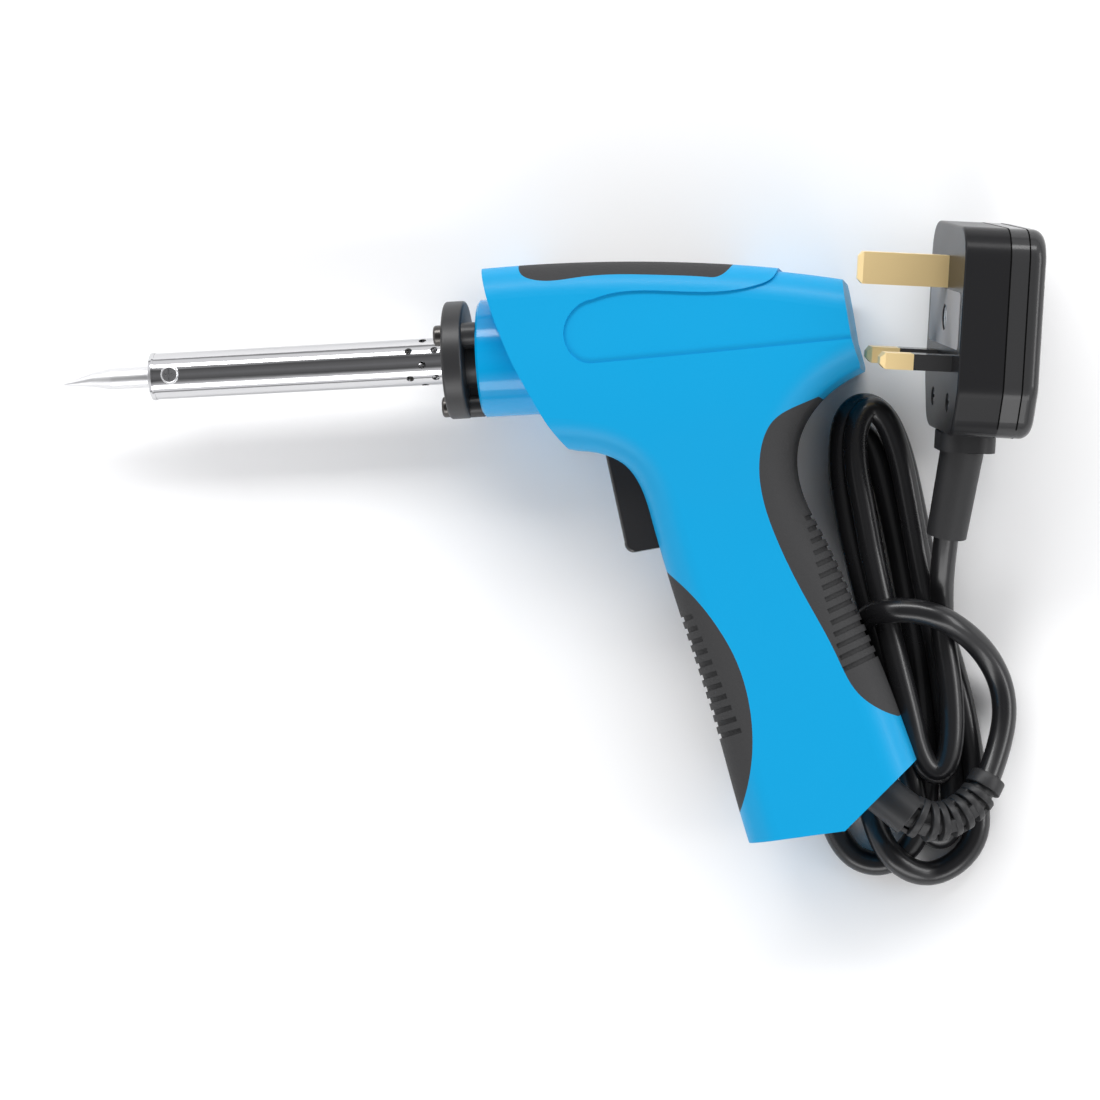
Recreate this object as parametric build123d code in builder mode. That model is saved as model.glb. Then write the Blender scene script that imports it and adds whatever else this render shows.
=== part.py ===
from build123d import *
import math
import os

# Pistol-grip soldering iron, lying on its right side. Millimetres.
# X runs from the tip (-X) to the rear, Y from the handle's foot (-Y) to the top, Z up off the floor.

# ---- driving dimensions ------------------------------------------------------
mid_z = 20.0            # height of the parting plane between the two housing halves
barrel_y = 52.15        # the barrel's axis
flange_face = -6.8      # front face of the heat-shield flange

wall = 3.0              # housing wall
rim = 8.5               # rounding of the housing's side rims
panel_depth = 0.8       # recessed side panel
pad_depth = 1.5         # pocket that each soft pad sits in
groove_depth = 0.6      # grooves between the grip pads' ribs

tip_r = 2.75            # soldering tip's shank
tube_r = 6.0            # barrel tube
tube_wall = 0.6
tube_front = -82.4
flange_r = 15.0
flange_thick = 5.3
flange_gap = 3.5        # air gap behind the flange, kept by the spacer
screw_ring_r = 11.8     # the three flange screws
collar_r = 15.0
collar_end = 30.0

pivot = (36.5, 29.6)    # trigger's pin
pin_r = 1.5
running_gap = 0.05      # radial clearance of a shaft in its hole
trigger_half = 5.5      # half the trigger's thickness
slot_half = 6.1

screw_places = [(25.5, 32.8), (89.0, 52.0), (52.0, 66.0), (77.5, -9.0), (72.0, -63.0)]
screw_seat = 11.0       # height of the housing screws' seats
screw_r = 1.45

cord_r = 3.15           # three-core mains cord

boot_way = (0.749, -0.663, 0.0)   # way out of the foot
boot_start = (92.4, -58.0, mid_z)
boot_sleeve_r = 5.35
floor_z = 0.0
slab_top = 6.4          # top of the hank's strands that run under the handle
second_top = 17.4       # top of its stacked strands
hump_top = 23.4         # top of the strand wound over its waist

plug_size = (52.0, 50.0)     # up the plug, across it
plug_thick = 20.5
neck_depth = -7.0      # middle of the cord's way out, behind the pin face
base_thick = 11.5
earth_pin_up = 14.0
line_pin_up = -8.2
line_pin_across = 11.1

barrel_axis = Axis((0, barrel_y, mid_z), (1, 0, 0))
barrel_side = Plane((0, barrel_y, mid_z))
mid_plane = Plane.XY.offset(mid_z)

os.makedirs("parts", exist_ok=True)


def save(piece, name):
    """Label a finished piece and write it to its own file."""
    piece.label = name
    export_step(piece, f"parts/{name}.step")


def turned(profile):
    """A piece turned about the barrel's axis from (x, radius) points."""
    with BuildPart() as piece:
        with BuildSketch(barrel_side):
            with BuildLine():
                Polyline(*profile, close=True)
            make_face()
        revolve(axis=barrel_axis)
    return piece.part


def ring(x0, x1, inner, outer):
    """A plain tube on the barrel's axis."""
    return turned([(x0, inner), (x1, inner), (x1, outer), (x0, outer)])


def ring_places(radius):
    """Places of the three flange screws, the first one towards the handle."""
    return PolarLocations(radius, 3, start_angle=180)


def wire(points, radius, bend):
    """An insulated wire: straight runs joined by bends."""
    with BuildPart() as piece:
        with BuildLine() as path:
            FilletPolyline(*points, radius=bend)
        with BuildSketch(Plane(path.line @ 0, z_dir=path.line % 0)):
            Circle(radius)
        sweep(path=path.line)
    return piece.part


# ---- housing form ------------------------------------------------------------
# Three smooth chains make the side view: the top, the rear under the body and down the grip,
# and the front from the grip's foot up past the trigger. Their ends run on past the cuts.
top_chain = [(-8, 73.6), (20, 74.6), (50, 73.5), (79, 70.3), (103, 65.6)]
rear_chain = [(104.0, 45.8), (99, 44.2), (87.4, 37.2), (81.4, 28.0), (81.0, 16.0), (86.9, 1.6),
              (93.7, -15.3), (100.4, -33.5), (105.6, -50.0), (110.5, -67.0), (114.5, -84.0)]
front_chain = [(68.0, -86.0), (62.4, -66.0), (56.8, -41.5), (52.0, -23.5), (46.9, -4.3), (43.9, 8.9),
               (41.6, 17.4), (38.0, 23.0), (32.6, 26.0), (25.0, 27.6), (12.0, 28.4), (-8.0, 28.6)]
# Half thickness up the side: full round the barrel, thinner down the grip.
grip_side = [(52, 20.0), (40, 19.5), (28, 17.9), (14, 15.4), (0, 13.9), (-20, 13.3), (-50, 13.3), (-92, 13.4)]
crown_side = [(69, 20.0), (75, 19.6), (82, 18.6)]


def inset_points(chain, inset):
    """Points of a smooth chain moved inwards, to the right of its travel."""
    curve = Spline(*chain)
    count = 2 * len(chain)
    moved = []
    for step in range(count):
        place = curve @ (step / (count - 1))
        travel = curve % (step / (count - 1))
        moved.append((place.X + travel.Y * inset, place.Y - travel.X * inset))
    return moved


def housing_form(inset):
    """The closed outer form, shrunk by inset, before its ends are cut."""
    top_points, rear_points, front_points = [
        inset_points(chain, inset) if inset else chain for chain in (top_chain, rear_chain, front_chain)]
    with BuildPart() as form:
        with BuildSketch(mid_plane):
            with BuildLine():
                top = Spline(*top_points)
                rear = Spline(*rear_points)
                front = Spline(*front_points)
                Line(top @ 1, rear @ 0)
                Line(rear @ 1, front @ 0)
                Line(front @ 1, top @ 0)
            make_face()
        extrude(amount=24, both=True)
        with BuildSketch(Plane.YZ):
            with BuildLine():
                for side in (-1, 1):
                    level = [mid_z + side * (half - inset) for _, half in grip_side]
                    grip = Spline(*zip([y for y, _ in grip_side], level), tangents=[(-1, 0), (-1, 0)])
                    level = [mid_z + side * (half - inset) for _, half in crown_side]
                    crown = Spline(*zip([y for y, _ in crown_side], level), tangents=[(1, 0), (1, -0.15 * side)])
                    Line(grip @ 0, crown @ 0)
                    if side < 0:
                        foot, head = grip @ 1, crown @ 1
                Line(foot, grip @ 1)
                Line(head, crown @ 1)
            make_face()
        extrude(amount=130, both=True, mode=Mode.INTERSECT)
        rims = [edge for edge in form.edges() if is_rim(edge)]
        fillet(rims, rim - inset)
    return form.part


def is_rim(edge):
    """True for an edge between a side face and one of the three chains."""
    middle = edge.position_at(0.5)
    span = edge.bounding_box().size
    return abs(middle.Z - mid_z) > 9 and span.X > 5 and span.Z < 9 and edge.geom_type != GeomType.LINE


# ---- cuts that finish the form's ends -----------------------------------------
nose_edge = [(2.6, 82.0), (4.6, 74.2), (6.5, 65.5), (9.1, 57.0), (12.3, 48.7), (16.2, 40.8), (20.4, 33.0),
             (24.4, 27.4), (28.5, 20.0)]
rear_edge = [(98.4, 40.0), (98.6, 45.2), (97.0, 51.6), (95.2, 67.0), (94.6, 74.0)]
foot_edge = [(55.0, -75.5), (89.1, -71.3), (106.6, -55.4), (118.0, -44.0)]


def ends(inset):
    """The solid between the slanted nose, the flat rear and the foot."""
    with BuildPart() as keep:
        with BuildSketch(mid_plane):
            with BuildLine():
                nose = Spline(*[(x + inset, y) for x, y in nose_edge])
                foot = [(x - 0.6 * inset, y + inset) for x, y in foot_edge[1:]]
                rear = [(x - inset, y) for x, y in rear_edge]
                Polyline(nose @ 1, (28.5 + inset, -20), (50, -75.0 + inset), *foot, (118 - inset, 40), *rear, nose @ 0)
            make_face()
        extrude(amount=30, both=True)
    return keep.part


def prism(outline, low=-30.0, high=30.0):
    """A straight prism across the iron from a closed outline, low and high from the parting plane."""
    with BuildPart() as block:
        with BuildSketch(Plane.XY.offset(mid_z + low)):
            with BuildLine():
                for curve, points in outline:
                    curve(*points)
            make_face()
        extrude(amount=high - low)
    return block.part


outer = housing_form(0) & ends(0)
panel_core = housing_form(panel_depth)
pad_core = housing_form(pad_depth)
cavity = housing_form(wall) & ends(wall)

# The side panel's recess runs from a round nose to the rear and wraps over the top behind the step.
panel_outline = [
    (Spline, [(79.5, 90.0), (79.5, 71.0), (78.0, 67.6), (74.5, 66.0), (52.0, 65.6), (33.0, 64.6)]),
    (Spline, [(33.0, 64.6), (27.5, 61.8), (25.2, 56.4), (27.2, 50.8), (32.5, 48.6)]),
    (Spline, [(32.5, 48.6), (62.0, 49.7), (110.0, 51.8)]),
    (Polyline, [(110.0, 51.8), (110.0, 90.0), (79.5, 90.0)]),
]
top_pad_outline = [
    (Spline, [(14.3, 80.0), (14.0, 75.0), (15.0, 72.0), (18.0, 70.4), (30.0, 70.4), (50.0, 69.8), (62.0, 68.6)]),
    (Spline, [(62.0, 68.6), (65.4, 69.0), (68.2, 72.0), (71.0, 80.0)]),
    (Line, [(71.0, 80.0), (14.3, 80.0)]),
]
front_pad_outline = [
    (Spline, [(40.0, 1.0), (46.6, -4.0), (53.6, -10.6), (59.6, -18.8), (64.0, -27.6), (66.6, -38.0),
              (67.0, -49.0), (65.2, -59.0), (61.0, -68.5), (54.0, -76.0)]),
    (Polyline, [(54.0, -76.0), (30.0, -40.0), (40.0, 1.0)]),
]
rear_pad_outline = [
    (Spline, [(92.0, 40.0), (82.6, 35.4), (76.6, 32.0), (72.8, 24.0), (72.6, 14.0), (75.8, 2.0), (81.8, -12.0),
              (89.0, -27.0), (94.0, -37.0), (99.0, -41.2), (104.0, -43.6), (112.0, -45.0)]),
    (Polyline, [(112.0, -45.0), (125.0, 0.0), (92.0, 40.0)]),
]

panel_cut = prism(panel_outline) - panel_core
pad_outlines = {"top_pad": top_pad_outline, "front_grip_pad": front_pad_outline, "rear_grip_pad": rear_pad_outline}
pad_cuts = {name: prism(outline) - pad_core for name, outline in pad_outlines.items()}

# Grooves across the grip pads leave ribs between them: plates square to the grip's edge, cut to the skin's depth.
groove_core = housing_form(groove_depth)
front_grooves = [(51.0 + 0.74 * step, -16.5 - 3.0 * step, 2.6 + 0.35 * step, 15) for step in range(11)]
rear_grooves = [(87.0 + 1.05 * step, 9.0 - 2.75 * step, 4.5 + 0.5 * step, -157) for step in range(14)]


def grooves(places):
    """Grooves at each (x, y), that long and turned that way."""
    with BuildPart() as plates:
        for x, y, length, turn in places:
            with Locations(Location((x, y, mid_z), (0, 0, turn))):
                Box(2 * length, 1.3, 34.0)
    return plates.part - groove_core


pads = {name: outer & cut for name, cut in pad_cuts.items()}
pads["front_grip_pad"] = pads["front_grip_pad"] - grooves(front_grooves)
pads["rear_grip_pad"] = pads["rear_grip_pad"] - grooves(rear_grooves)
for name, pad in pads.items():
    save(pad, name)

# ---- housing halves ------------------------------------------------------------
with BuildPart() as inner_bosses:
    for x, y in screw_places:
        with Locations((x, y, mid_z)):
            Cylinder(5.0, 44)
    with Locations((*pivot, mid_z)):
        Cylinder(4.2, 44)
    for y in (-1.0, 21.0):
        with Locations((63.0, y, mid_z)):
            Cylinder(3.0, 44)
    for x in (24.5, 31.0):
        with Locations((x, barrel_y, mid_z)):
            Box(2.0, 48, 44)

with BuildPart() as openings:
    with BuildSketch(Plane.YZ) as collar_bore:
        with Locations((barrel_y, mid_z)):
            Circle(collar_r)
    extrude(amount=collar_end)
    with Locations((collar_end + 6, barrel_y, mid_z)):
        Box(12.0, 21, 21)
    with Locations((*pivot, mid_z)):
        Cylinder(6.2, 2 * slot_half)
    with BuildSketch(mid_plane):
        Polygon((29.0, 31.0), (29.0, 0.3), (56.0, 0.3), (56.0, 27.0), (46.0, 33.5), (36.0, 35.6), align=None)
    extrude(amount=slot_half, both=True)
    with Locations((*pivot, mid_z)):
        Cylinder(pin_r, 26)
    with Locations(Plane(boot_start, z_dir=boot_way)):
        Cylinder(boot_sleeve_r + running_gap, 30, align=(Align.CENTER, Align.CENTER, Align.MIN))
    with Locations((63.0, 10.0, mid_z)):
        Box(16, 28, 10.4)

whole = (outer - cavity) + (inner_bosses.part & outer)
whole = whole - openings.part
whole = whole - panel_cut
for cut in pad_cuts.values():
    whole = whole - cut

with BuildPart() as right_screw_holes:
    for x, y in screw_places:
        with Locations((x, y, screw_seat - 15)):
            Cylinder(3.3, 30)
        with Locations((x, y, mid_z)):
            Cylinder(1.6, 30)
with BuildPart() as left_screw_holes:
    for x, y in screw_places:
        with Locations((x, y, mid_z)):
            Cylinder(screw_r, 16)

left_housing = split(whole, mid_plane, keep=Keep.TOP) - left_screw_holes.part
right_housing = split(whole, mid_plane, keep=Keep.BOTTOM) - right_screw_holes.part
save(left_housing, "left_housing")
save(right_housing, "right_housing")

with BuildPart() as housing_screws:
    for x, y in screw_places:
        with Locations((x, y, screw_seat - 1.0)):
            Cylinder(2.7, 2.0)
            with Locations((0, 0, 1.0)):
                Cylinder(screw_r, 16, align=(Align.CENTER, Align.CENTER, Align.MIN))
        with Locations((x, y, screw_seat - 2.0)):
            Box(3.4, 0.8, 1.6, mode=Mode.SUBTRACT)
            Box(0.8, 3.4, 1.6, mode=Mode.SUBTRACT)
save(housing_screws.part, "housing_screws")

# ---- barrel and heater ------------------------------------------------------------
with BuildPart() as soldering_tip:
    with BuildSketch(barrel_side):
        with BuildLine():
            Polyline((-99.4, 0), (-55, 0), (-55, tip_r - 0.2), (-55.2, tip_r), (-94.0, tip_r), (-96.2, 2.4),
                     (-99.4, 1.8), close=True)
        make_face()
    revolve(axis=barrel_axis)
    with BuildSketch(Plane((-99.4, barrel_y, mid_z), z_dir=(-1, 0, 0))):
        Circle(1.8)
    with BuildSketch(Plane((-106.7, barrel_y - 0.8, mid_z), z_dir=(-1, 0, 0))):
        Circle(0.25)
    loft()
save(soldering_tip.part, "soldering_tip")

save(ring(-79.9, -24, tip_r + running_gap, 3.6), "tip_sleeve")
save(turned([(-83.8, 3.1), (tube_front, 3.1), (tube_front, 6.15), (-82.9, 6.25), (-83.5, 6.1), (-83.8, 5.6)]),
     "barrel_front_ring")

with BuildPart() as clamp_bush:
    add(ring(tube_front, -72, 3.6, tube_r - tube_wall))
    add(ring(tube_front, -79.9, tip_r + running_gap, 3.6))
    with Locations((-77.8, barrel_y, mid_z)):
        Cylinder(1.25, 12, align=(Align.CENTER, Align.CENTER, Align.MIN), mode=Mode.SUBTRACT)
save(clamp_bush.part, "clamp_bush")

with BuildPart() as barrel_tube:
    add(ring(tube_front, 0.5, tube_r - tube_wall, tube_r))
    with Locations((-77.8, barrel_y, mid_z)):
        Cylinder(1.25, 12, align=(Align.CENTER, Align.CENTER, Align.MIN), mode=Mode.SUBTRACT)
    for row, x in enumerate((-16.2, -12.8, -9.6)):
        for hole in range(5):
            turn = 72 * hole + 36 * (row % 2) - 26
            with Locations(Location((x, barrel_y, mid_z), (turn, 0, 0))):
                Cylinder(0.95, 8, align=(Align.CENTER, Align.CENTER, Align.MIN), mode=Mode.SUBTRACT)
save(barrel_tube.part, "barrel_tube")

with BuildPart() as tip_clamp_screw:
    with Locations((-77.8, barrel_y, mid_z + 3.6)):
        Cylinder(1.25, 2.6, align=(Align.CENTER, Align.CENTER, Align.MIN))
    with Locations((-77.8, barrel_y, mid_z + tube_r)):
        Cylinder(2.35, 1.5, align=(Align.CENTER, Align.CENTER, Align.MIN))
    fillet(tip_clamp_screw.faces().sort_by(Axis.Z)[-1].edges(), 0.7)
    with Locations((-77.8, barrel_y, mid_z + tube_r + 1.2)):
        Box(2.6, 0.6, 1.2, mode=Mode.SUBTRACT)
        Box(0.6, 2.6, 1.2, mode=Mode.SUBTRACT)
save(tip_clamp_screw.part, "tip_clamp_screw")

save(ring(-70, -26, 3.6, 4.3), "heater_core")
save(ring(-66, -30, 4.3, 4.8), "heater_winding")
save(ring(-68, -28, 4.8, 5.3), "mica_wrap")

with BuildPart() as rear_insulator:
    add(ring(-24, -18, 0, 5.3))
    with Locations((-21, barrel_y - 2.2, mid_z), (-21, barrel_y + 2.2, mid_z)):
        Box(8, 1.6, 1.6, mode=Mode.SUBTRACT)
save(rear_insulator.part, "rear_insulator")

with BuildPart() as heat_shield_flange:
    add(ring(flange_face, flange_face + flange_thick, tube_r, flange_r))
    outer_edges = heat_shield_flange.edges().filter_by(GeomType.CIRCLE).filter_by(lambda e: e.radius > 14)
    fillet(outer_edges, 0.8)
    with BuildSketch(Plane.YZ.offset(flange_face)):
        with Locations((barrel_y, mid_z)):
            with ring_places(screw_ring_r):
                Circle(1.5)
    extrude(amount=flange_thick, mode=Mode.SUBTRACT)
save(heat_shield_flange.part, "heat_shield_flange")

flange_back = flange_face + flange_thick
with BuildPart() as flange_spacer:
    with BuildSketch(Plane.YZ.offset(flange_back)):
        with Locations((barrel_y, mid_z)):
            Circle(7.5)
            with ring_places(screw_ring_r):
                Circle(3.0)
            with PolarLocations(9.0, 3, start_angle=180):
                Rectangle(5.0, 3.0)
            Circle(tube_r, mode=Mode.SUBTRACT)
            with ring_places(screw_ring_r):
                Circle(1.5, mode=Mode.SUBTRACT)
    extrude(amount=flange_gap)
save(flange_spacer.part, "flange_spacer")

collar_face = flange_back + flange_gap
with BuildPart() as nose_collar:
    add(turned([(collar_face, 6.5), (collar_face, collar_r - 0.6), (collar_face + 0.6, collar_r),
                (collar_end, collar_r), (collar_end, collar_r - 2.4), (collar_face + 2.6, collar_r - 2.4),
                (collar_face + 2.6, 6.5)]))
    with BuildSketch(Plane.YZ.offset(collar_face + 2.6)):
        with Locations((barrel_y, mid_z)):
            with ring_places(screw_ring_r - 1.4):
                Circle(3.2)
    extrude(amount=8)
    with BuildSketch(Plane.YZ.offset(collar_face)):
        with Locations((barrel_y, mid_z)):
            with ring_places(screw_ring_r):
                Circle(1.5)
    extrude(amount=8, mode=Mode.SUBTRACT)
save(nose_collar.part, "nose_collar")

with BuildPart() as flange_screws:
    with BuildSketch(Plane.YZ.offset(flange_face)):
        with Locations((barrel_y, mid_z)):
            with ring_places(screw_ring_r):
                Circle(2.65)
    extrude(amount=-2.0)
    fillet(flange_screws.faces().group_by(Axis.X)[0].edges(), 0.8)
    with BuildSketch(Plane.YZ.offset(flange_face)):
        with Locations((barrel_y, mid_z)):
            with ring_places(screw_ring_r):
                Circle(1.5)
    extrude(amount=16)
    with BuildSketch(Plane.YZ.offset(flange_face - 2.0)):
        with Locations((barrel_y, mid_z)):
            with ring_places(screw_ring_r):
                Rectangle(3.2, 0.7)
                Rectangle(0.7, 3.2)
    extrude(amount=1.0, mode=Mode.SUBTRACT)
save(flange_screws.part, "flange_screws")

# ---- trigger and switch ---------------------------------------------------------
switch_front = 55.0
switch_low, switch_high = -4.0, 24.0
plunger_y = 18.6
plunger_r = 1.5

with BuildPart() as trigger:
    with BuildSketch(mid_plane):
        with BuildLine():
            Polyline((38.4, 0.9), (49.2, 2.3), (50.4, 10.0), (50.4, 21.5), (46.0, 27.0), (40.0, 33.0), (35.5, 33.0),
                     (33.0, 30.5), (32.7, 26.2), (36.5, 3.6))
            RadiusArc((36.5, 3.6), (38.4, 0.9), -2.4)
        make_face()
    extrude(amount=trigger_half, both=True)
    fillet(trigger.edges().filter_by(Axis.Z, reverse=True).filter_by(
        lambda edge: (edge @ 0.5).X < 38.5 and (edge @ 0.5).Y < 27 and abs((edge @ 0.5).Z - mid_z) > 5), 1.0)
    with Locations((*pivot, mid_z)):
        Cylinder(4.0, 4.0, mode=Mode.SUBTRACT)
        Cylinder(pin_r + running_gap, 20, mode=Mode.SUBTRACT)
save(trigger.part, "trigger")

with BuildPart() as trigger_pin:
    with Locations((*pivot, mid_z)):
        Cylinder(pin_r, 26)
save(trigger_pin.part, "trigger_pin")

with BuildPart() as trigger_spring:
    with BuildLine(Plane((*pivot, mid_z - 1.35))) as coil:
        Helix(pitch=0.9, height=2.7, radius=2.5)
    with BuildSketch(Plane(coil.line @ 0, z_dir=coil.line % 0)):
        Circle(0.35)
    sweep(path=coil.line, is_frenet=True)
save(trigger_spring.part, "trigger_spring")

with BuildPart() as switch_body:
    with Locations((switch_front, (switch_low + switch_high) / 2, mid_z)):
        Box(16, switch_high - switch_low, 10.4, align=(Align.MIN, Align.CENTER, Align.CENTER))
    fillet(switch_body.edges().filter_by(Axis.Z), 1.0)
    with Locations(Plane((switch_front, plunger_y, mid_z), z_dir=(1, 0, 0))):
        Cylinder(plunger_r + running_gap, 7.0, align=(Align.CENTER, Align.CENTER, Align.MIN), mode=Mode.SUBTRACT)
    for y in (switch_low + 3, switch_high - 3):
        with Locations((switch_front + 8, y, mid_z)):
            Cylinder(1.5, 12, mode=Mode.SUBTRACT)
save(switch_body.part, "switch_body")

with BuildPart() as switch_plunger:
    with Locations(Plane((50.7, plunger_y, mid_z), z_dir=(1, 0, 0))):
        Cylinder(plunger_r, 7.6, align=(Align.CENTER, Align.CENTER, Align.MIN))
    fillet(switch_plunger.faces().sort_by(Axis.X)[0].edges(), 1.0)
save(switch_plunger.part, "switch_plunger")

terminal_ys = (-1.0, 10.0, 21.0)
terminal_long = 4.0
terminal_thick = 0.8
with BuildPart() as switch_terminals:
    with Locations(*[(switch_front + 16, y, mid_z) for y in terminal_ys]):
        Box(terminal_long, terminal_thick, 4.8, align=(Align.MIN, Align.CENTER, Align.CENTER))
save(switch_terminals.part, "switch_terminals")

with BuildPart() as power_diode:
    with Locations(Plane((57.0, 39.5, mid_z), z_dir=(1, 0, 0))):
        Cylinder(2.7, 9.0, align=(Align.CENTER, Align.CENTER, Align.MIN))
        with Locations((0, 0, -6)):
            Cylinder(0.5, 21.1, align=(Align.CENTER, Align.CENTER, Align.MIN))
    fillet(power_diode.edges().filter_by(GeomType.CIRCLE).filter_by(lambda edge: edge.radius > 2.6), 0.6)
save(power_diode.part, "power_diode")

# ---- wiring ------------------------------------------------------------------------
lead_half = 2.2
connector_start, connector_end = 38.0, 49.0
with BuildPart() as heater_leads:
    for side in (-lead_half, lead_half):
        with Locations(Plane((-24, barrel_y + side, mid_z), z_dir=(1, 0, 0))):
            Cylinder(0.7, connector_start + 24, align=(Align.CENTER, Align.CENTER, Align.MIN))
save(heater_leads.part, "heater_leads")

with BuildPart() as wire_connectors:
    for side in (-lead_half, lead_half):
        with Locations(Plane((connector_start, barrel_y + side, mid_z), z_dir=(1, 0, 0))):
            Cylinder(1.9, connector_end - connector_start, align=(Align.CENTER, Align.CENTER, Align.MIN))
save(wire_connectors.part, "wire_connectors")

cord_face = Plane((85.0, -51.5, mid_z), x_dir=(0.663, 0.749, 0), z_dir=boot_way)
core_r = 0.9
wire_mid = switch_front + 18.0
terminal_end = switch_front + 16.0 + terminal_long


def into_cord(across, up):
    """The last straight run of a core into the cord's sheath."""
    return [tuple(cord_face.from_local_coords((across, up, depth))) for depth in (-6.0, 0.0)]


lead_ys = [barrel_y - lead_half, barrel_y + lead_half]
switched_path = [(connector_end, lead_ys[1], mid_z), (53.0, lead_ys[1], mid_z), (64.0, 52.0, mid_z),
                 (wire_mid, 45.0, mid_z), (wire_mid, terminal_ys[2] + terminal_thick / 2, mid_z)]
neutral_path = [(connector_end, lead_ys[0], mid_z), (52.0, lead_ys[0], mid_z), (60.0, 48.0, 25.0),
                (73.0, 36.0, 28.5), (72.5, 10.0, 27.5), (70.6, -9.0, 26.5), (74.0, -26.0, 24.0),
                *into_cord(-1.05, 0.7)]
live_path = [(terminal_end, terminal_ys[0], mid_z), (81.0, terminal_ys[0], mid_z), (84.6, -9.0, mid_z),
             (82.6, -24.0, mid_z), *into_cord(1.05, 0.7)]
earth_path = [(0.5, barrel_y - 5.05, mid_z), (14.0, barrel_y - 5.05, mid_z), (34.0, 44.5, 16.0),
              (56.0, 44.0, 12.5), (73.0, 30.0, 12.5), (73.0, 8.0, 12.5), (69.5, -20.0, 15.0),
              *into_cord(0, -1.15)]
save(wire(switched_path, core_r, 3), "switched_wire")
save(wire(neutral_path, core_r, 2), "neutral_wire")
save(wire(live_path, core_r, 2), "live_wire")
save(wire(earth_path, core_r, 2), "earth_wire")

cord_inner_long = (Vector(*boot_start) - cord_face.origin).dot(cord_face.z_dir)
with BuildPart() as cord_inner:
    with Locations(cord_face):
        Cylinder(cord_r, cord_inner_long, align=(Align.CENTER, Align.CENTER, Align.MIN))
save(cord_inner.part, "cord_inner")

clamp_place = Plane((88.5, -54.6, mid_z + cord_r), x_dir=(0.663, 0.749, 0), z_dir=(0, 0, 1))
with BuildPart() as cord_clamp:
    with Locations(clamp_place):
        Box(19, 5.5, 2.2, align=(Align.CENTER, Align.CENTER, Align.MIN))
        with Locations((-6.6, 0, 0), (6.6, 0, 0)):
            Cylinder(1.3, 10, mode=Mode.SUBTRACT)
save(cord_clamp.part, "cord_clamp")

with BuildPart() as cord_clamp_screws:
    with Locations(clamp_place):
        with Locations((-6.6, 0, 2.2), (6.6, 0, 2.2)):
            Cylinder(2.3, 1.6, align=(Align.CENTER, Align.CENTER, Align.MIN))
            Cylinder(1.3, 9.0, align=(Align.CENTER, Align.CENTER, Align.MAX))
save(cord_clamp_screws.part, "cord_clamp_screws")

# ---- cord -----------------------------------------------------------------------------


def bend_radii(points):
    """A radius for each corner, as large as its two runs allow."""
    radii = []
    for before, corner, after in zip(points, points[1:], points[2:]):
        arriving = Vector(*corner) - Vector(*before)
        leaving = Vector(*after) - Vector(*corner)
        half_turn = math.radians(arriving.get_angle(leaving)) / 2
        radii.append(0.45 * min(arriving.length, leaving.length) / math.tan(half_turn))
    return radii


def tube(points, radius, name):
    """A round cord along straight runs joined by tangent arcs."""
    radii = bend_radii(points)
    with BuildPart() as piece:
        with BuildLine() as path:
            FilletPolyline(*points, radius=radii)
        with BuildSketch(Plane(path.line @ 0, z_dir=path.line % 0)):
            Circle(radius)
        sweep(path=path.line)
    exact = math.pi * radius**2 * path.wire().length
    print(name, "radii", [round(r) for r in radii], "length", round(path.wire().length, 1),
          "volume ratio", round(piece.part.volume / exact, 4))
    return piece.part


boot_path = [boot_start, (105.8, -69.861, 20.0), (112.6, -71.2, 16.8), (118.8, -68.4, 14.2), (122.8, -64.2, 12.0),
             (125.0, -60.3, 10.8)]
boot_body = tube(boot_path, 4.0, "boot")
with BuildPart() as boot_sleeve:
    with Locations(Plane(boot_start, z_dir=boot_way)):
        Cylinder(boot_sleeve_r, 17.0, align=(Align.CENTER, Align.CENTER, Align.MIN))
    fillet(boot_sleeve.faces().filter_by(GeomType.PLANE).sort_by(Axis.X)[-1].edges(), 0.8)
with BuildPart() as boot_rings:
    with BuildLine(mode=Mode.PRIVATE) as boot_line:
        FilletPolyline(*boot_path, radius=bend_radii(boot_path))
    for step in range(7):
        place = 0.55 + 0.07 * step
        with Locations(Plane(boot_line.line @ place, z_dir=boot_line.line % place)):
            Cylinder(5.0 - 0.1 * step, 1.8)
boot = boot_body + boot_sleeve.part + boot_rings.part
save(boot, "strain_relief_boot")

lead_path = [(125.0, -60.3, 10.8), (129.2, -50.5, 7.0), (130.0, -38.5, 5.0), (125.4, -28.0, 9.0),
             (117.5, -20.4, 17.2)]
tail_path = [(117.6, 1.4, 20.5), (116.4, -6.5, 21.2), (114.6, -15.0, 20.6)]

lower_outline = [(88.6, 35.6), (95.5, 40.2), (102.0, 40.0), (106.2, 36.0), (108.6, 22.0), (111.6, 2.0), (115.0, -10.0),
                 (118.0, -20.0), (120.4, -34.0), (123.0, -46.0), (124.2, -58.0), (124.8, -68.0), (123.0, -79.0),
                 (113.5, -88.0), (104.0, -86.8), (97.0, -86.0), (89.0, -84.6), (83.0, -79.6), (80.2, -70.0),
                 (80.6, -56.0), (84.6, -40.0), (89.8, -24.0), (92.6, -8.0), (92.0, 8.0), (89.6, 24.0)]
upper_outline = [(90.2, 34.8), (94.5, 39.0), (99.5, 38.0), (102.6, 24.0), (107.0, 6.0), (112.8, -8.0), (116.8, -20.0),
                 (119.0, -34.0), (121.0, -46.0), (119.5, -53.0), (112.0, -51.0), (106.6, -40.0), (101.2, -26.0),
                 (96.8, -14.0), (94.6, 0.0), (92.4, 14.0), (90.4, 26.0)]
hump_outline = [(97.0, -13.4), (104.0, -12.6), (112.0, -13.2), (117.2, -15.6), (117.0, -22.0), (110.0, -23.8),
                (101.8, -24.4), (98.8, -20.0)]
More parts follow.
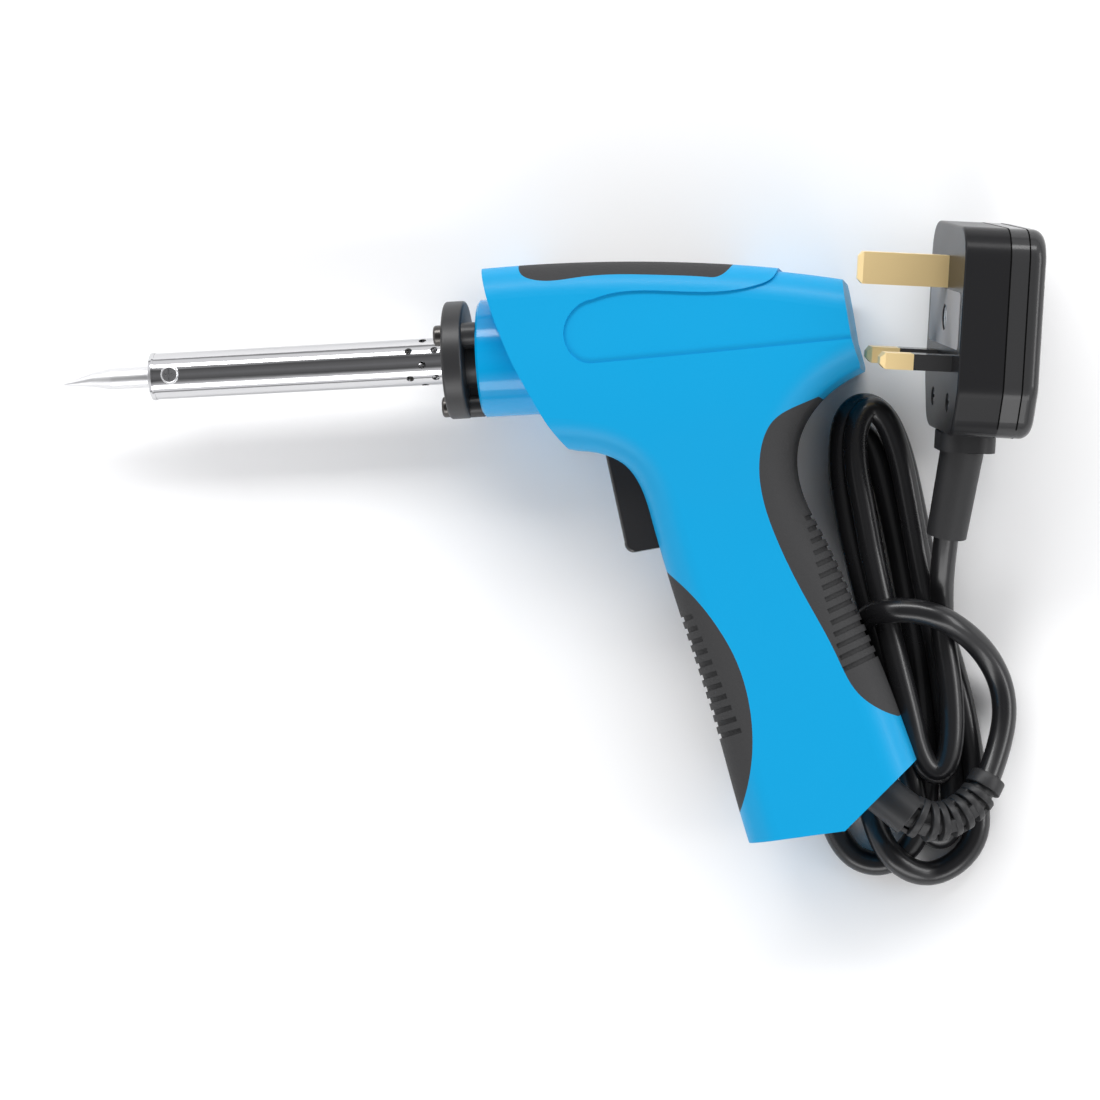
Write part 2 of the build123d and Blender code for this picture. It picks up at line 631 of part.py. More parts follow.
with BuildPart() as hank_solid:
    for outline, low, high in ((lower_outline, floor_z, slab_top), (upper_outline, slab_top, second_top),
                               (hump_outline, second_top, hump_top)):
        with BuildSketch(Plane.XY.offset(low)):
            with BuildLine():
                Spline(*outline, periodic=True)
            make_face()
        extrude(amount=high - low)
save(hank_solid.part, "cord_hank")
save(tube(lead_path, cord_r, "lead") - hank_solid.part - boot, "cord_lead")

# ---- three-pin plug ------------------------------------------------------------------------
# Local x runs up the plug, local z along its pins, local y down to the floor side.
plug = Plane((119.9, 53.2, 31.4), x_dir=(0.1115, 0.9889, 0.0987), z_dir=(-0.97565, 0.0901, 0.2))

along_pins = Axis(plug.origin, plug.z_dir)


def on_plug(x, y, z):
    """The plug's plane moved to a local point."""
    return Plane(plug.from_local_coords((x, y, z)), x_dir=plug.x_dir, z_dir=plug.z_dir)


def plug_outline(margin):
    """Rounded outline of the plug's two halves, narrower towards the cord."""
    half_up, half_across = plug_size[0] / 2 - margin, plug_size[1] / 2 - margin
    with BuildSketch(Plane.XY) as sketch:
        with BuildLine():
            Polyline((-half_up, -half_across + 6), (-half_up + 12, -half_across), (half_up, -half_across),
                     (half_up, half_across), (-half_up + 12, half_across), (-half_up, half_across - 6), close=True)
        make_face()
        fillet(sketch.vertices(), 8.0 - margin)
    return sketch.sketch


pin_shapes = {"plug_earth_pin": (earth_pin_up, 0.0, 8.0, 4.0, 22.7),
              "plug_live_pin": (line_pin_up, line_pin_across, 4.0, 6.35, 17.7),
              "plug_neutral_pin": (line_pin_up, -line_pin_across, 4.0, 6.35, 17.7)}
grip_screw_places = [(-18.0, -10.8), (-18.0, 10.8)]
cover_screw_place = (2.5, 0.0)
sleeve_length = 9.5
sleeve_skin = 0.5
pin_root = 7.0

with BuildPart() as plug_base:
    with BuildSketch(plug):
        add(plug_outline(0))
    extrude(amount=-base_thick)
    fillet(plug_base.faces().sort_by(along_pins)[-1].edges(), 0.8)
    with BuildSketch(on_plug(0, 0, -base_thick)):
        add(plug_outline(2.6))
    extrude(amount=base_thick - 3.0, mode=Mode.SUBTRACT)
    for up, across, tall, wide, _ in pin_shapes.values():
        with Locations(on_plug(up, across, -3.0)):
            Box(tall + 3, wide + 3, base_thick - 7.5, align=(Align.CENTER, Align.CENTER, Align.MAX))
            Box(tall, wide, 20, mode=Mode.SUBTRACT)
    for place in grip_screw_places:
        with Locations(on_plug(*place, 0)):
            Cylinder(3.6, base_thick - 2.0, align=(Align.CENTER, Align.CENTER, Align.MAX))
            Cylinder(2.4, 4.0, mode=Mode.SUBTRACT)
            Cylinder(1.5, 30.0, mode=Mode.SUBTRACT)
    with Locations(on_plug(*cover_screw_place, 0)):
        Cylinder(4.2, base_thick, align=(Align.CENTER, Align.CENTER, Align.MAX))
        Cylinder(3.1, 4.0, mode=Mode.SUBTRACT)
        Cylinder(1.5, 30.0, mode=Mode.SUBTRACT)
save(plug_base.part, "plug_base")

with BuildPart() as plug_cover:
    with BuildSketch(on_plug(0, 0, -base_thick)):
        add(plug_outline(0))
    extrude(amount=base_thick - plug_thick)
    fillet(plug_cover.faces().sort_by(along_pins)[0].edges(), 3.0)
    with BuildSketch(on_plug(0, 0, -base_thick)):
        add(plug_outline(2.6))
    extrude(amount=base_thick - plug_thick + 3.2, mode=Mode.SUBTRACT)
    with Locations(on_plug(*cover_screw_place, -base_thick)):
        Cylinder(4.2, plug_thick - base_thick - 1.0, align=(Align.CENTER, Align.CENTER, Align.MAX))
        Cylinder(1.5, 12.0, mode=Mode.SUBTRACT)
save(plug_cover.part, "plug_cover")

with BuildPart() as pin_sleeves:
    for up, across, tall, wide, long in pin_shapes.values():
        if long < 20:
            with Locations(on_plug(up, across, 0)):
                Box(tall, wide, sleeve_length, align=(Align.CENTER, Align.CENTER, Align.MIN))
                Box(tall - 2 * sleeve_skin, wide - 2 * sleeve_skin, 30, mode=Mode.SUBTRACT)
save(pin_sleeves.part, "plug_pin_sleeves")

for name, (up, across, tall, wide, long) in pin_shapes.items():
    with BuildPart() as pin:
        with Locations(on_plug(up, across, -pin_root)):
            Box(tall, wide, long + pin_root, align=(Align.CENTER, Align.CENTER, Align.MIN))
        chamfer(pin.faces().sort_by(along_pins)[-1].edges(), 1.2)
        if long < 20:
            with Locations(on_plug(up, across, 0)):
                Box(tall + 2, wide + 2, sleeve_length, align=(Align.CENTER, Align.CENTER, Align.MIN),
                    mode=Mode.SUBTRACT)
                Box(tall - 2 * sleeve_skin, wide - 2 * sleeve_skin, sleeve_length,
                    align=(Align.CENTER, Align.CENTER, Align.MIN))
    save(pin.part, name)

with BuildPart() as plug_cover_screw:
    with Locations(on_plug(*cover_screw_place, -2.0)):
        Cylinder(3.0, 1.8, align=(Align.CENTER, Align.CENTER, Align.MIN))
        Cylinder(1.5, 13.0, align=(Align.CENTER, Align.CENTER, Align.MAX))
    with Locations(on_plug(*cover_screw_place, 0)):
        Box(7, 0.9, 1.6, mode=Mode.SUBTRACT)
save(plug_cover_screw.part, "plug_cover_screw")

with BuildPart() as grip_screws:
    for place in grip_screw_places:
        with Locations(on_plug(*place, -2.0)):
            Cylinder(2.35, 1.6, align=(Align.CENTER, Align.CENTER, Align.MIN))
            Cylinder(1.5, 10.5, align=(Align.CENTER, Align.CENTER, Align.MAX))
        with Locations(on_plug(*place, 0)):
            Box(0.8, 6, 1.8, mode=Mode.SUBTRACT)
save(grip_screws.part, "plug_grip_screws")

with BuildPart() as cord_grip:
    with Locations(on_plug(-18.0, 0, -base_thick + 2.0)):
        Box(5.5, 29.0, 1.5, align=(Align.CENTER, Align.CENTER, Align.MAX))
    for place in grip_screw_places:
        with Locations(on_plug(*place, -base_thick)):
            Cylinder(1.5, 12.0, mode=Mode.SUBTRACT)
save(cord_grip.part, "plug_cord_grip")

fuse_r = 3.0
fuse_half = 12.7
with BuildPart() as fuse:
    with Locations(Plane(plug.from_local_coords((9.0, line_pin_across + 5.8, -8.2)), z_dir=plug.x_dir)):
        Cylinder(fuse_r, 2 * fuse_half - 10, align=Align.CENTER)
save(fuse.part, "plug_fuse")

with BuildPart() as label:
    with BuildSketch(plug):
        with Locations((2.7, 0)):
            RectangleRounded(14.0, 43.0, 1.5)
        with Locations(cover_screw_place):
            Circle(3.4, mode=Mode.SUBTRACT)
    extrude(amount=0.15)
save(label.part, "plug_label")

neck_start = plug.from_local_coords((-plug_size[0] / 2, 0, neck_depth))
neck_end = Vector(*tail_path[0])
neck_way = neck_end - neck_start
with BuildPart() as neck_boot:
    with Locations(on_plug(-plug_size[0] / 2, 0, neck_depth)):
        Box(4.6, 18.0, 14.0, align=(Align.MAX, Align.CENTER, Align.CENTER))
    fillet(neck_boot.edges().filter_by(Axis(plug.origin, plug.x_dir)), 5.0)
    with BuildSketch(Plane(neck_start + neck_way * 0.15, z_dir=neck_way)):
        Circle(5.5)
    with BuildSketch(Plane(neck_end, z_dir=neck_way)):
        Circle(5.1)
    loft()
save(neck_boot.part, "plug_neck_boot")
save(tube(tail_path, cord_r, "tail") - hank_solid.part - neck_boot.part, "cord_tail")
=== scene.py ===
import bmesh
import bpy
import math
from mathutils import Matrix, Vector


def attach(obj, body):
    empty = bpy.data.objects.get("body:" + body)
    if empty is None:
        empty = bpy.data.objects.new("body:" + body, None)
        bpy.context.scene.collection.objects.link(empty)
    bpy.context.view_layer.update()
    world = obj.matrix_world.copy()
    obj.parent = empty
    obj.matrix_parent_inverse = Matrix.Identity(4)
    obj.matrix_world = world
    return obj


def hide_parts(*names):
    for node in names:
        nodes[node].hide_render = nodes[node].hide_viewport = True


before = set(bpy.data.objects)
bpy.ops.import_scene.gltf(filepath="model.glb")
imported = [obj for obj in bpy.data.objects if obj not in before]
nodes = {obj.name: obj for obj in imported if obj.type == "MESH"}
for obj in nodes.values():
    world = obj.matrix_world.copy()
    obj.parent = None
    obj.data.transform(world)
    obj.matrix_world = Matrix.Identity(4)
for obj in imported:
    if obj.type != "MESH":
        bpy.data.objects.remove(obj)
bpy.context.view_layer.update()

# ---- Camera, floor and light ---------------------------------------------------------------------
# The iron lies on its right side on a pale table, seen from almost straight above through a
# long lens. A pale sky that darkens overhead gives the bright metal its dark middle band.
towards_camera = Vector((0.1131, -0.0056, 0.9936))
across_view = Vector((0.9924, -0.0491, -0.1132))
up_view = towards_camera.cross(across_view)
camera = bpy.data.objects.new("table_camera", bpy.data.cameras.new("table_camera"))
camera.data.lens = 154.3
camera.data.clip_end = 20
view_middle = Vector((0.0169, 0.0026, 0.020))
camera_distance = 1.2
camera_turn = Matrix((across_view, up_view, towards_camera)).transposed().to_4x4()
camera.matrix_world = Matrix.Translation(view_middle + towards_camera * camera_distance) @ camera_turn
bpy.context.collection.objects.link(camera)
bpy.context.scene.camera = camera
bpy.context.scene.view_settings.view_transform = "Standard"

floor_mesh = bmesh.new()
bmesh.ops.create_grid(floor_mesh, x_segments=1, y_segments=1, size=4.0)
floor = bpy.data.objects.new("table_top", bpy.data.meshes.new("table_top"))
floor_mesh.to_mesh(floor.data)
floor_mesh.free()
bpy.context.collection.objects.link(floor)
paper = bpy.data.materials.new("white_paper")
paper.use_nodes = True
paper_shader = paper.node_tree.nodes["Principled BSDF"]
paper_shader.inputs["Base Color"].default_value = (0.93, 0.93, 0.93, 1)
paper_shader.inputs["Roughness"].default_value = 0.9
floor.data.materials.append(paper)

sky = bpy.data.worlds.new("studio_sky")
sky.use_nodes = True
bpy.context.scene.world = sky
sky_nodes = sky.node_tree.nodes
direction = sky_nodes.new("ShaderNodeTexCoord")
parts_of_direction = sky_nodes.new("ShaderNodeSeparateXYZ")
height_ramp = sky_nodes.new("ShaderNodeValToRGB")
sky_bands = [(0.0, 0.55), (0.09, 0.30), (0.17, 0.95), (0.62, 1.0), (0.78, 0.45), (0.88, 0.10), (0.97, 0.16)]
stops = height_ramp.color_ramp.elements
stops.remove(stops[0])
stops[0].position = 1.0
stops[0].color = (0.22, 0.22, 0.23, 1)
for height, shade in sky_bands:
    stops.new(height).color = (shade, shade, shade * 1.02, 1)
sky.node_tree.links.new(direction.outputs["Generated"], parts_of_direction.inputs[0])
sky.node_tree.links.new(parts_of_direction.outputs["Z"], height_ramp.inputs["Fac"])
sky.node_tree.links.new(height_ramp.outputs["Color"], sky_nodes["Background"].inputs["Color"])
sky_nodes["Background"].inputs["Strength"].default_value = 1.0


def softbox(name, place, size, power):
    """A soft light aimed at the middle of the iron."""
    light = bpy.data.objects.new(name, bpy.data.lights.new(name, "AREA"))
    light.data.shape = "RECTANGLE"
    light.data.size, light.data.size_y = size
    light.data.energy = power
    light.location = place
    aim = Vector((0.02, 0, 0.02)) - Vector(place)
    light.rotation_euler = aim.to_track_quat("-Z", "Y").to_euler()
    bpy.context.collection.objects.link(light)


softbox("rear_softbox", (0.0, 1.1, 0.95), (1.8, 0.35), 16)
softbox("front_softbox", (0.0, -1.2, 0.8), (1.8, 0.5), 9)
softbox("end_softbox", (1.4, 0.1, 0.7), (1.0, 0.4), 6)

# ---- Housing halves and nose collar --------------------------------------------------------------
# Two shells of satin blue ABS meet on the parting plane, with five screws put in from the right
# side. The collar at the nose is one moulding of the same plastic, polished where it is round.


def surface_effect(name):
    """Fine grain and faint patchy wear shared by the mouldings, as one group."""
    group = bpy.data.node_groups.new(name, "ShaderNodeTree")
    starting_values = {"Grain Scale": 900.0, "Grain Depth": 0.1, "Roughness": 0.4, "Variation": 0.06}
    for label, value in starting_values.items():
        socket = group.interface.new_socket(label, in_out="INPUT", socket_type="NodeSocketFloat")
        socket.default_value = value
    group.interface.new_socket("Roughness", in_out="OUTPUT", socket_type="NodeSocketFloat")
    group.interface.new_socket("Normal", in_out="OUTPUT", socket_type="NodeSocketVector")
    inside = group.nodes
    given = inside.new("NodeGroupInput")
    out = inside.new("NodeGroupOutput")
    place = inside.new("ShaderNodeTexCoord")
    grain = inside.new("ShaderNodeTexNoise")
    patches = inside.new("ShaderNodeTexNoise")
    patches.inputs["Scale"].default_value = 55
    patches.inputs["Detail"].default_value = 5
    bump = inside.new("ShaderNodeBump")
    bump.inputs["Distance"].default_value = 0.0002
    centred = inside.new("ShaderNodeMath")
    centred.operation = "SUBTRACT"
    centred.inputs[1].default_value = 0.5
    amount = inside.new("ShaderNodeMath")
    amount.operation = "MULTIPLY_ADD"
    join = group.links.new
    join(place.outputs["Object"], grain.inputs["Vector"])
    join(place.outputs["Object"], patches.inputs["Vector"])
    join(given.outputs["Grain Scale"], grain.inputs["Scale"])
    join(given.outputs["Grain Depth"], bump.inputs["Strength"])
    join(grain.outputs["Fac"], bump.inputs["Height"])
    join(patches.outputs["Fac"], centred.inputs[0])
    join(centred.outputs[0], amount.inputs[0])
    join(given.outputs["Variation"], amount.inputs[1])
    join(given.outputs["Roughness"], amount.inputs[2])
    join(amount.outputs[0], out.inputs["Roughness"])
    join(bump.outputs["Normal"], out.inputs["Normal"])
    return group


moulded_surface = surface_effect("moulded_surface")


def finish(name, colour, roughness, metallic=0.0, coat=0.0, grain=(900, 0.1), variation=0.06,
           specular=0.5):
    """A material with the shared grain and wear; grain is its scale and its depth."""
    material = bpy.data.materials.new(name)
    material.use_nodes = True
    tree = material.node_tree
    shader = tree.nodes["Principled BSDF"]
    shader.inputs["Base Color"].default_value = (*colour, 1)
    shader.inputs["Metallic"].default_value = metallic
    shader.inputs["Coat Weight"].default_value = coat
    shader.inputs["Coat Roughness"].default_value = 0.08
    shader.inputs["Specular IOR Level"].default_value = specular
    effect = tree.nodes.new("ShaderNodeGroup")
    effect.node_tree = moulded_surface
    effect.inputs["Grain Scale"].default_value = grain[0]
    effect.inputs["Grain Depth"].default_value = grain[1]
    effect.inputs["Roughness"].default_value = roughness
    effect.inputs["Variation"].default_value = variation
    tree.links.new(effect.outputs["Roughness"], shader.inputs["Roughness"])
    tree.links.new(effect.outputs["Normal"], shader.inputs["Normal"])
    return material


def dress(material, *names):
    """Gives CAD pieces their finish."""
    for name in names:
        nodes[name].data.materials.clear()
        nodes[name].data.materials.append(material)


blue_abs = finish("blue_abs", (0.0, 0.305, 0.60), 0.45, coat=0.03, grain=(1400, 0.06), specular=0.28)
blue_polished = finish("blue_polished", (0.0, 0.31, 0.63), 0.15, coat=0.25, grain=(1200, 0.02),
                       specular=0.3)
screw_steel = finish("screw_steel", (0.62, 0.62, 0.63), 0.25, metallic=1.0, grain=(700, 0.1))
dress(blue_abs, "left_housing", "right_housing")
dress(blue_polished, "nose_collar")
dress(screw_steel, "housing_screws")

# ---- Soft pads -----------------------------------------------------------------------------------
# Three pads of soft black rubber sit in pockets of the housing, on the top and on both faces of
# the grip, where moulded ribs stop the hand from slipping.
grip_rubber = finish("grip_rubber", (0.040, 0.040, 0.041), 0.66, grain=(1500, 0.6), variation=0.12,
                     specular=0.22)
dress(grip_rubber, "top_pad", "front_grip_pad", "rear_grip_pad")

# ---- Barrel, clamp and tip -----------------------------------------------------------------------
# A rolled steel tube, chromed, with a ring at its mouth and one screw through its side that
# holds the tip. The tip is plated copper, its bevelled point wet with solder.
chrome = finish("chrome", (0.64, 0.64, 0.65), 0.07, metallic=1.0, grain=(240, 0.12), variation=0.05)
bare_steel = finish("bare_steel", (0.5, 0.5, 0.52), 0.35, metallic=1.0)
tinned_tip = finish("tinned_tip", (0.78, 0.78, 0.79), 0.42, metallic=1.0, grain=(260, 0.35), variation=0.3)
dress(chrome, "barrel_tube", "barrel_front_ring")
dress(bare_steel, "tip_sleeve", "clamp_bush")
dress(tinned_tip, "soldering_tip")
dress(screw_steel, "tip_clamp_screw")

# ---- Heater, inside the barrel -------------------------------------------------------------------
# Resistance wire is wound on a ceramic core and wrapped in mica. Its leads run back to two crimps.
ceramic = finish("ceramic", (0.8, 0.78, 0.72), 0.7)
dress(ceramic, "heater_core", "rear_insulator", "wire_connectors")
dress(finish("heater_wire", (0.35, 0.31, 0.28), 0.4, metallic=1.0), "heater_winding")
dress(finish("mica", (0.5, 0.45, 0.33), 0.45), "mica_wrap")
dress(finish("lead_sleeving", (0.8, 0.8, 0.8), 0.6), "heater_leads")

# ---- Heat shield flange --------------------------------------------------------------------------
# A disc of black phenolic keeps the hot barrel off the collar, on a spacer with three lugs.
# Three blackened screws hold both to the collar.
black_phenolic = finish("black_phenolic", (0.022, 0.022, 0.023), 0.38, grain=(500, 0.12))
screw_blackened = finish("screw_blackened", (0.10, 0.095, 0.09), 0.3, metallic=1.0, grain=(700, 0.1))
dress(black_phenolic, "heat_shield_flange", "flange_spacer")
dress(screw_blackened, "flange_screws")

# ---- Trigger and switch --------------------------------------------------------------------------
# The trigger is a glossy black moulding on a steel pin, sprung outwards. It pushes the plunger
# of a moulded switch, whose brass terminals carry the wires and the diode.
black_gloss = finish("black_gloss", (0.015, 0.015, 0.016), 0.22, coat=0.3, grain=(600, 0.04))
brass = finish("brass", (1.0, 0.76, 0.38), 0.36, metallic=0.55, grain=(300, 0.08), variation=0.12)
dress(black_gloss, "trigger", "switch_plunger")
dress(bare_steel, "trigger_pin", "trigger_spring")
dress(black_phenolic, "switch_body", "power_diode")
dress(brass, "switch_terminals")

# ---- Wires ---------------------------------------------------------------------------------------
# Live, neutral and earth cores in PVC run from the cord to the switch, the heater and the
# barrel, and a second live one joins the switch to the heater.
wire_colours = {"switched_wire": (0.2, 0.07, 0.02), "live_wire": (0.2, 0.07, 0.02),
                "neutral_wire": (0.02, 0.09, 0.45), "earth_wire": (0.15, 0.4, 0.05)}
for wire_name, wire_colour in wire_colours.items():
    dress(finish(wire_name + "_pvc", wire_colour, 0.4), wire_name)

# ---- Plug ----------------------------------------------------------------------------------------
# A rewirable three-pin plug: base and cover of glossy black thermoset, brass pins, two of them
# sleeved, a ceramic fuse, and a blank paper label on the pin face.
plug_thermoset = finish("plug_thermoset", (0.034, 0.034, 0.035), 0.17, grain=(400, 0.03), specular=0.28)
plug_base_thermoset = finish("plug_base_thermoset", (0.016, 0.016, 0.017), 0.26, grain=(400, 0.03),
                             specular=0.12)
label_paper = finish("label_paper", (0.34, 0.34, 0.35), 0.75, specular=0.03)
dress(plug_thermoset, "plug_cover", "plug_pin_sleeves", "plug_cord_grip")
dress(plug_base_thermoset, "plug_base")
dress(label_paper, "plug_label")
dress(brass, "plug_earth_pin", "plug_live_pin", "plug_neutral_pin")
dress(screw_steel, "plug_cover_screw", "plug_grip_screws")
dress(ceramic, "plug_fuse")

# The line between base and cover, and the shallow grip line behind it, run all the way round as thin
# near-black strips just proud of the plug: painted shadow for the gap and the groove.
# Corner cuts are places on the pin face and the length cut off each corner, in millimetres.
plug_place = Vector((0.1199, 0.0532, 0.0314))
plug_up = Vector((0.1115, 0.9889, 0.0987)).normalized()
plug_out = Vector((-0.97565, 0.0901, 0.2)).normalized()
plug_turn = Matrix((plug_up, plug_out.cross(plug_up), plug_out)).transposed().to_4x4()
corner_cuts = [(-26, -19, 4.9), (-14, -25, 1.9), (26, -25, 8), (26, 25, 8), (-14, 25, 1.9), (-26, 19, 4.9)]
seam_depths = (0.0115, 0.0162)
seam_width = 0.00035
proud_of_plug = (1.0022, 1.0024, 1)
seam_shadow_mesh = bmesh.new()
for depth in seam_depths:
    corners = [seam_shadow_mesh.verts.new((x / 1000, y / 1000, -depth)) for x, y, _ in corner_cuts]
    seam_shadow_mesh.faces.new(corners)
    for corner, (_, _, cut) in zip(corners, corner_cuts):
        bmesh.ops.bevel(seam_shadow_mesh, geom=[corner], offset=cut / 1000, segments=8, profile=0.5,
                        affect="VERTICES", material=-1)
for outline in list(seam_shadow_mesh.faces):
    thick = bmesh.ops.extrude_face_region(seam_shadow_mesh, geom=[outline])
    lifted = [part for part in thick["geom"] if isinstance(part, bmesh.types.BMVert)]
    bmesh.ops.translate(seam_shadow_mesh, vec=(0, 0, seam_width), verts=lifted)
bmesh.ops.scale(seam_shadow_mesh, vec=proud_of_plug, verts=seam_shadow_mesh.verts)
bmesh.ops.recalc_face_normals(seam_shadow_mesh, faces=seam_shadow_mesh.faces)
bmesh.ops.transform(seam_shadow_mesh, matrix=Matrix.Translation(plug_place) @ plug_turn, verts=seam_shadow_mesh.verts)
seam = bpy.data.objects.new("plug_seam_shadows", bpy.data.meshes.new("plug_seam_shadows"))
seam_shadow_mesh.to_mesh(seam.data)
seam_shadow_mesh.free()
bpy.context.collection.objects.link(seam)
# Near-black strip colour: painted shadow in the seam gap and the grip groove.
seam.data.materials.append(finish("seam_shadow", (0.002, 0.002, 0.002), 0.9, specular=0.05))
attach(seam, "body")

# ---- Strain relief -------------------------------------------------------------------------------
# A rubber boot leaves the grip's foot and lets the cord bend without a kink. It is a smooth sleeve,
# then ribs a little apart that are joined on alternate sides by short webs, then an end ring.
# Inside the grip a clamp with two screws holds the cord. The plug's neck is of the same rubber.
rubber = finish("boot_rubber", (0.020, 0.020, 0.021), 0.45, grain=(900, 0.15), specular=0.35)
dress(rubber, "plug_neck_boot")
dress(black_phenolic, "cord_clamp")
dress(screw_steel, "cord_clamp_screws")
boot_path = [(92.4, -58.0, 20.0), (105.8, -69.861, 20.0), (112.6, -71.2, 16.8), (118.8, -68.4, 14.2),
             (122.8, -64.2, 12.0), (125.0, -60.3, 10.8)]


def smooth_line(name, path, thickness):
    """A round NURBS curve along a path in millimetres; thickness is its radius in metres."""
    curve = bpy.data.curves.new(name, "CURVE")
    curve.dimensions = "3D"
    curve.bevel_depth = thickness
    curve.bevel_resolution = 6
    curve.resolution_u = 10
    spline = curve.splines.new("NURBS")
    spline.points.add(len(path) - 1)
    for point, place in zip(spline.points, path):
        point.co = (*[value / 1000 for value in place], 1)
    spline.order_u = 3
    spline.use_endpoint_u = True
    piece = bpy.data.objects.new(name, curve)
    bpy.context.collection.objects.link(piece)
    return piece


guide = smooth_line("boot_guide", boot_path, 0)
guide_mesh = bpy.data.meshes.new_from_object(guide)
boot_line = [vertex.co.copy() for vertex in guide_mesh.vertices]
bpy.data.objects.remove(guide)
bpy.data.meshes.remove(guide_mesh)


def along_boot(distance):
    """The place and turn at a distance along the boot, in metres."""
    for start, end in zip(boot_line, boot_line[1:]):
        span = (end - start).length
        if distance <= span:
            break
        distance -= span
    way = (end - start).normalized()
    return Matrix.Translation(start + way * distance) @ way.to_track_quat("Z", "Y").to_matrix().to_4x4()


boot_long = sum((end - start).length for start, end in zip(boot_line, boot_line[1:]))
core_radius = 0.0034
core_steps = 34
core_start = 0.014
core_long = boot_long - 0.016
disc_thick = 0.0018
sleeve_long = 0.017
end_ring_thick = 0.0036
boot_mesh = bmesh.new()
for step in range(core_steps):
    bmesh.ops.create_cone(boot_mesh, segments=40, radius1=core_radius, radius2=core_radius,
                          depth=disc_thick, cap_ends=True,
                          matrix=along_boot(core_start + core_long * step / (core_steps - 1)))
bmesh.ops.create_cone(boot_mesh, segments=64, radius1=0.00535, radius2=0.0053, depth=sleeve_long,
                      cap_ends=True, matrix=along_boot(0.0) @ Matrix.Translation((0, 0, sleeve_long / 2)))
rib_count = 7
rib_pitch = 0.0030
first_rib = 0.0187
first_rib_radius = 0.0053
rib_taper = 0.00009
web_size = Matrix.Diagonal((1.6, 3.4, 2.2, 1))
web_sink = 0.0011
for rib in range(rib_count):
    distance = first_rib + rib_pitch * rib
    radius = first_rib_radius - rib_taper * rib
    bmesh.ops.create_cone(boot_mesh, segments=48, radius1=radius, radius2=radius, depth=disc_thick,
                          cap_ends=True, matrix=along_boot(distance))
    for web in (0, 1):
        turn = Matrix.Rotation(math.radians(90 * (rib % 2) + 180 * web + 25), 4, "Z")
        web_place = Matrix.Translation((radius - web_sink, 0, 0))
        bmesh.ops.create_cube(boot_mesh, size=0.001,
                              matrix=along_boot(distance - rib_pitch / 2) @ turn @ web_place @ web_size)
bmesh.ops.create_cone(boot_mesh, segments=48, radius1=0.0048, radius2=0.0046, depth=end_ring_thick,
                      cap_ends=True, matrix=along_boot(boot_long - end_ring_thick / 2))
sharp = [edge for edge in boot_mesh.edges if len(edge.link_faces) == 2 and edge.calc_face_angle() > 1.0]
bmesh.ops.bevel(boot_mesh, geom=sharp, offset=0.0003, segments=3, profile=0.5, affect="EDGES",
                material=-1)
bmesh.ops.recalc_face_normals(boot_mesh, faces=boot_mesh.faces)
boot = bpy.data.objects.new("ribbed_boot", bpy.data.meshes.new("ribbed_boot"))
boot_mesh.to_mesh(boot.data)
boot_mesh.free()
for face in boot.data.polygons:
    face.use_smooth = True
boot.data.materials.append(rubber)
bpy.context.collection.objects.link(boot)
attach(boot, "body")
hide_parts("strain_relief_boot")

# ---- Cord ----------------------------------------------------------------------------------------
# A round three-core mains cord in black PVC. It leaves the boot, crosses over its own hank, and
# is wound in turns on the table, then on each other, up to the plug. Places are in millimetres.
cord_radius = 0.00315
out_of_boot = [
    (125.0, -60.3, 10.8), (129.2, -50.5, 7.0), (130.0, -38.5, 6.0), (125.4, -28.0, 10.0),
    (117.5, -20.4, 18.6),
    (110.0, -17.4, 20.2), (102.5, -16.8, 19.6), (97.8, -17.4, 14.5), (95.6, -19.5, 7.0), (92.5, -26.5, 3.3),
    (88.0, -38.0, 3.2), (84.5, -50.0, 3.2), (83.2, -62.0, 3.2), (84.4, -72.0, 3.2), (88.6, -79.5, 3.2),
    (95.5, -82.3, 3.2), (102.5, -79.5, 3.2), (107.0, -73.0, 3.2), (109.2, -62.0, 3.2), (109.0, -50.0, 3.2),
    (108.3, -30.0, 3.2), (106.8, -18.0, 3.2), (104.4, 0.0, 3.3), (102.0, 14.0, 3.6), (99.6, 25.0, 4.0),
    (96.2, 29.6, 4.2), (92.4, 28.0, 3.6)]
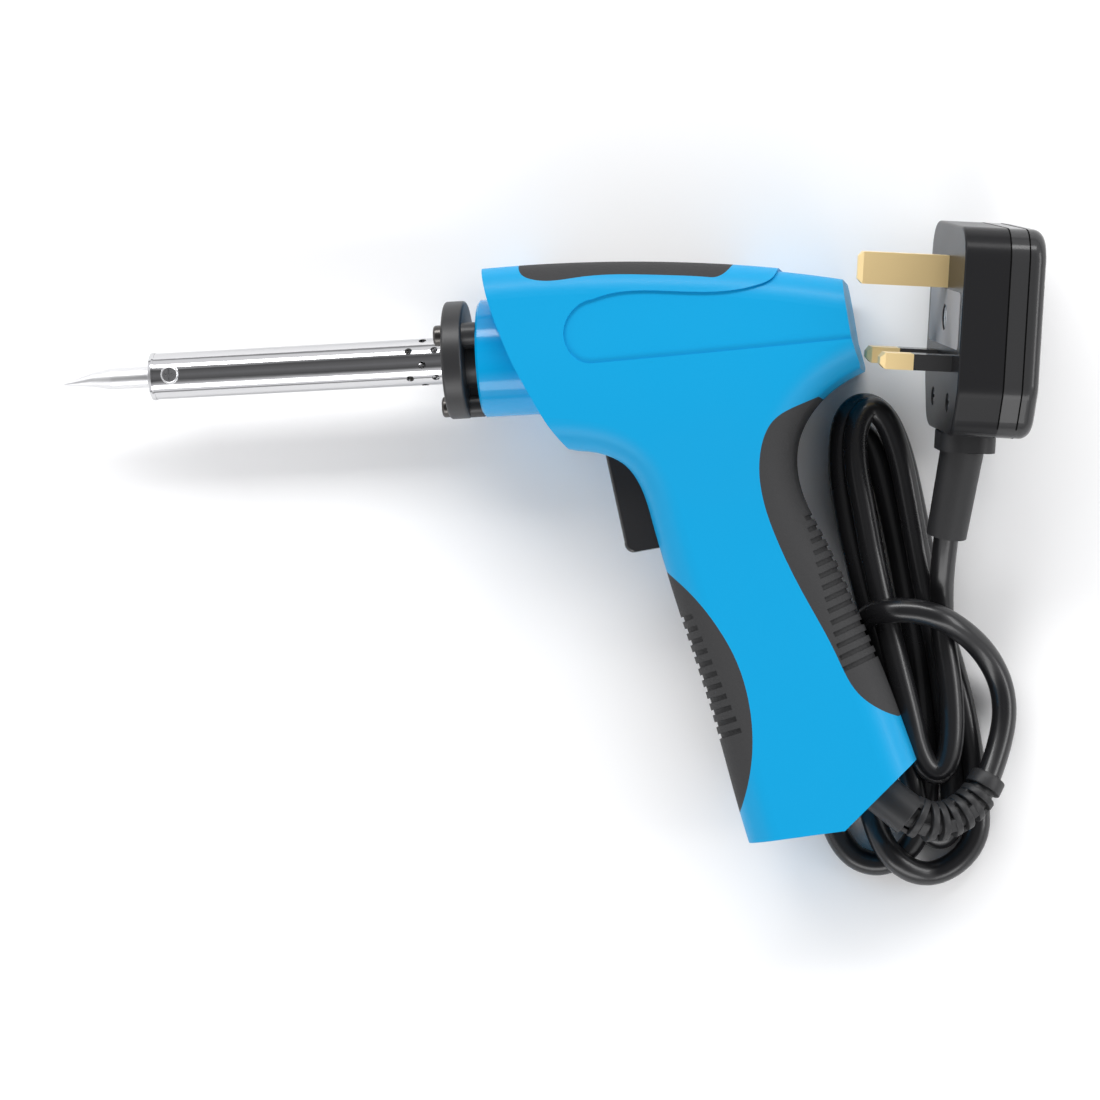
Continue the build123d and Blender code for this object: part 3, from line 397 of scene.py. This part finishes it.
table_turn = [
    (90.5, 20.0, 3.2), (91.5, 9.0, 3.2), (94.0, -5.0, 3.2), (97.0, -20.0, 3.2), (96.0, -34.0, 3.2),
    (94.5, -48.0, 3.2), (93.5, -60.0, 3.2), (95.0, -71.0, 6.0), (98.5, -79.0, 8.6), (104.0, -84.0, 6.5),
    (110.0, -85.0, 3.4), (117.0, -81.5, 3.2), (121.5, -75.0, 3.2), (121.6, -66.0, 3.2), (120.6, -52.0, 3.2),
    (118.0, -36.0, 3.2), (114.0, -20.0, 3.2), (111.0, -5.0, 3.4), (109.0, 10.0, 4.0), (106.6, 24.0, 5.4),
    (103.0, 33.4, 7.0), (97.5, 36.4, 8.2), (92.6, 32.6, 8.8)]
middle_turn = [
    (91.0, 22.0, 8.9), (92.0, 8.0, 8.9), (94.5, -6.0, 8.9), (97.5, -20.0, 8.9), (101.0, -33.0, 8.9),
    (103.5, -46.0, 8.9), (105.0, -58.0, 7.5), (106.3, -68.0, 5.5), (109.5, -75.5, 3.6), (113.8, -75.5, 3.2),
    (115.6, -68.0, 3.2), (115.2, -56.0, 3.2), (114.8, -44.0, 4.5), (114.0, -30.0, 7.5), (111.8, -16.0, 8.9),
    (110.0, -4.0, 8.9), (108.5, 8.0, 8.9), (106.6, 22.0, 8.9), (103.5, 32.0, 9.5), (99.5, 35.5, 10.5),
    (95.8, 31.0, 12.0)]
top_turn = [
    (95.0, 22.0, 13.0), (97.0, 8.0, 13.8), (98.8, -6.0, 13.6), (101.2, -20.0, 13.0), (103.8, -33.0, 13.6),
    (106.0, -44.0, 13.5), (107.5, -53.0, 11.5), (110.5, -59.0, 9.8), (114.2, -58.0, 9.6),
    (116.4, -50.0, 10.0),
    (116.6, -37.0, 10.4), (115.0, -24.0, 10.8), (115.2, -14.0, 12.5)]
into_plug = [(116.2, -6.0, 17.5), (117.6, 1.4, 20.5)]
route = out_of_boot + table_turn + middle_turn + top_turn + into_plug
cord = smooth_line("mains_cord", route, cord_radius)
cord_pvc = finish("cord_pvc", (0.010, 0.010, 0.011), 0.28, coat=0.15, grain=(500, 0.12), specular=0.45)
cord.data.materials.append(cord_pvc)
dress(cord_pvc, "cord_inner")
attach(cord, "body")
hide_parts("cord_hank", "cord_lead", "cord_tail")
